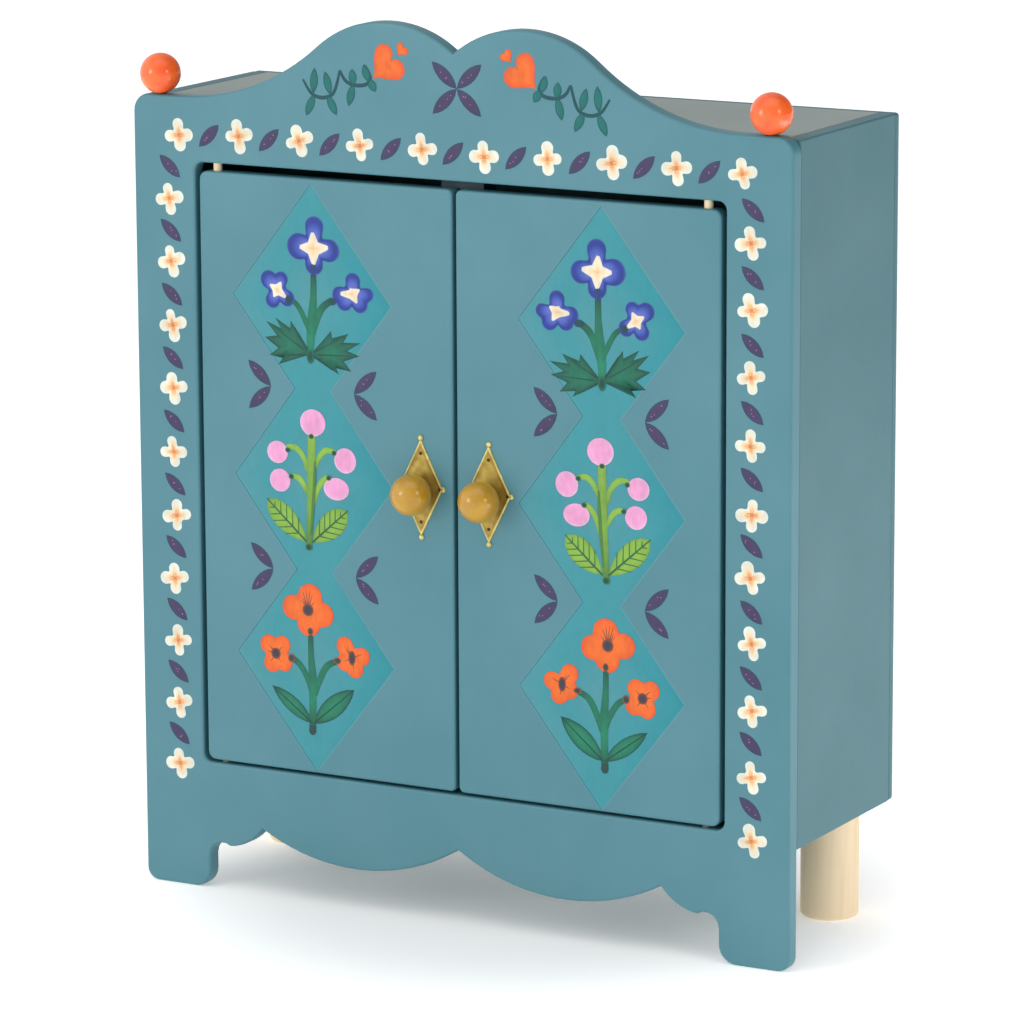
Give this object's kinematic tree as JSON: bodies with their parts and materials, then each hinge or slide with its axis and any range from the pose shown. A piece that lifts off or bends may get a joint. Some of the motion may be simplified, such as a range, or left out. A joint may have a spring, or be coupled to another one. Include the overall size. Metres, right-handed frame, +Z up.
{
  "type": "miniature wardrobe",
  "caption": "Dolls' house wardrobe with painted hinged doors in a scalloped front board, ball finials and round back legs.",
  "frame": {"origin": "middle of the bottom of the whole object's box, on the plane the feet stand on", "axes": "+X to the right seen from the front, +Y to the back, +Z up"},
  "size_m": [0.25, 0.0958, 0.3069],
  "materials": {
    "frame_paint": "satin teal paint on wood, with painted flowers, leaves and hearts",
    "side_paint": "satin teal paint on wood, a darker coat",
    "top_paint": "satin grey-teal paint on wood",
    "natural_wood": "bare sanded birch",
    "orange_gloss": "gloss orange lacquer on a wooden bead",
    "gold_paint": "satin mustard gold paint on a wooden bead",
    "brass": "pressed brass, worn bright on its rim",
    "steel": "zinc-plated steel",
    "magnet": "matt ferrite"
  },
  "bodies": {
    "carcass": {"front_frame": "frame_paint", "side_panel_left": "side_paint", "side_panel_right": "side_paint", "back_panel": "side_paint", "bottom_panel": "side_paint", "door_stop": "side_paint", "top_panel": "top_paint", "rear_leg_left": "natural_wood", "rear_leg_right": "natural_wood", "clothes_rail": "natural_wood", "frame_dowels": "natural_wood", "carcass_dowels": "natural_wood", "finial_dowels": "natural_wood", "finial_left": "orange_gloss", "finial_right": "orange_gloss", "leg_screws": "steel", "back_panel_pins": "steel", "catch_magnet": "magnet"},
    "left_leaf": {"door_left": "frame_paint", "pivot_pin_left_top": "natural_wood", "pivot_pin_left_bottom": "natural_wood", "knob_left": "gold_paint", "knob_screw_left": "steel", "escutcheon_left": "brass", "escutcheon_nails_left": "brass", "keeper_left": "steel"},
    "right_leaf": {"door_right": "frame_paint", "pivot_pin_right_top": "natural_wood", "pivot_pin_right_bottom": "natural_wood", "knob_right": "gold_paint", "knob_screw_right": "steel", "escutcheon_right": "brass", "escutcheon_nails_right": "brass", "keeper_right": "steel"}
  },
  "joints": [
    {"name": "door_left_hinge", "type": "hinge", "parent": "carcass", "child": "left_leaf", "pos_m": [-0.0932, -0.03065, 0.1495], "axis": [0, 0, -1], "range_deg": [0, 120]},
    {"name": "door_right_hinge", "type": "hinge", "parent": "carcass", "child": "right_leaf", "pos_m": [0.0932, -0.03065, 0.1495], "axis": [0, 0, 1], "range_deg": [0, 120]}
  ]
}
